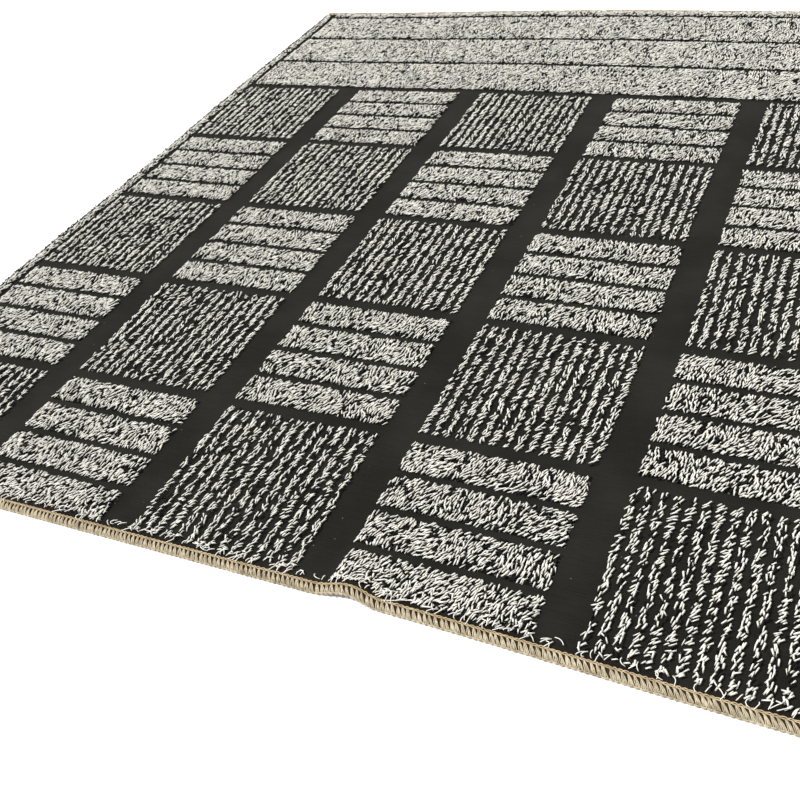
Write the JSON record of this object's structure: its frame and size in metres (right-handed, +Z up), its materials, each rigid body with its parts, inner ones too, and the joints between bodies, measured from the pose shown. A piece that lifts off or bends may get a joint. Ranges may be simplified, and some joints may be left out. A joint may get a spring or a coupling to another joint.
{
  "type": "hand-woven pile rug",
  "caption": "Flat hand-woven floor rug with off-white pile raised on a near-black ground in a log-cabin check, with beige overlocked ends and tufted selvedges.",
  "frame": {"origin": "middle of the rug's footprint, on the floor under it", "axes": "+Y along the length, from the buckled end to the banded end; +X across the width; +Z up out of the pile"},
  "size_m": [2.507, 3.031, 0.0232],
  "materials": {
    "ground_cloth": "matt flat-woven wool with faint cross ribs",
    "pile_yarn": "soft off-white yarn mixed with near-black",
    "edging_yarn": "beige overlock yarn"
  },
  "bodies": {
    "root": {"rug": "ground_cloth", "near_binding": "edging_yarn", "far_binding": "edging_yarn", "left_locks": "pile_yarn", "right_locks": "pile_yarn"}
  },
  "joints": []
}
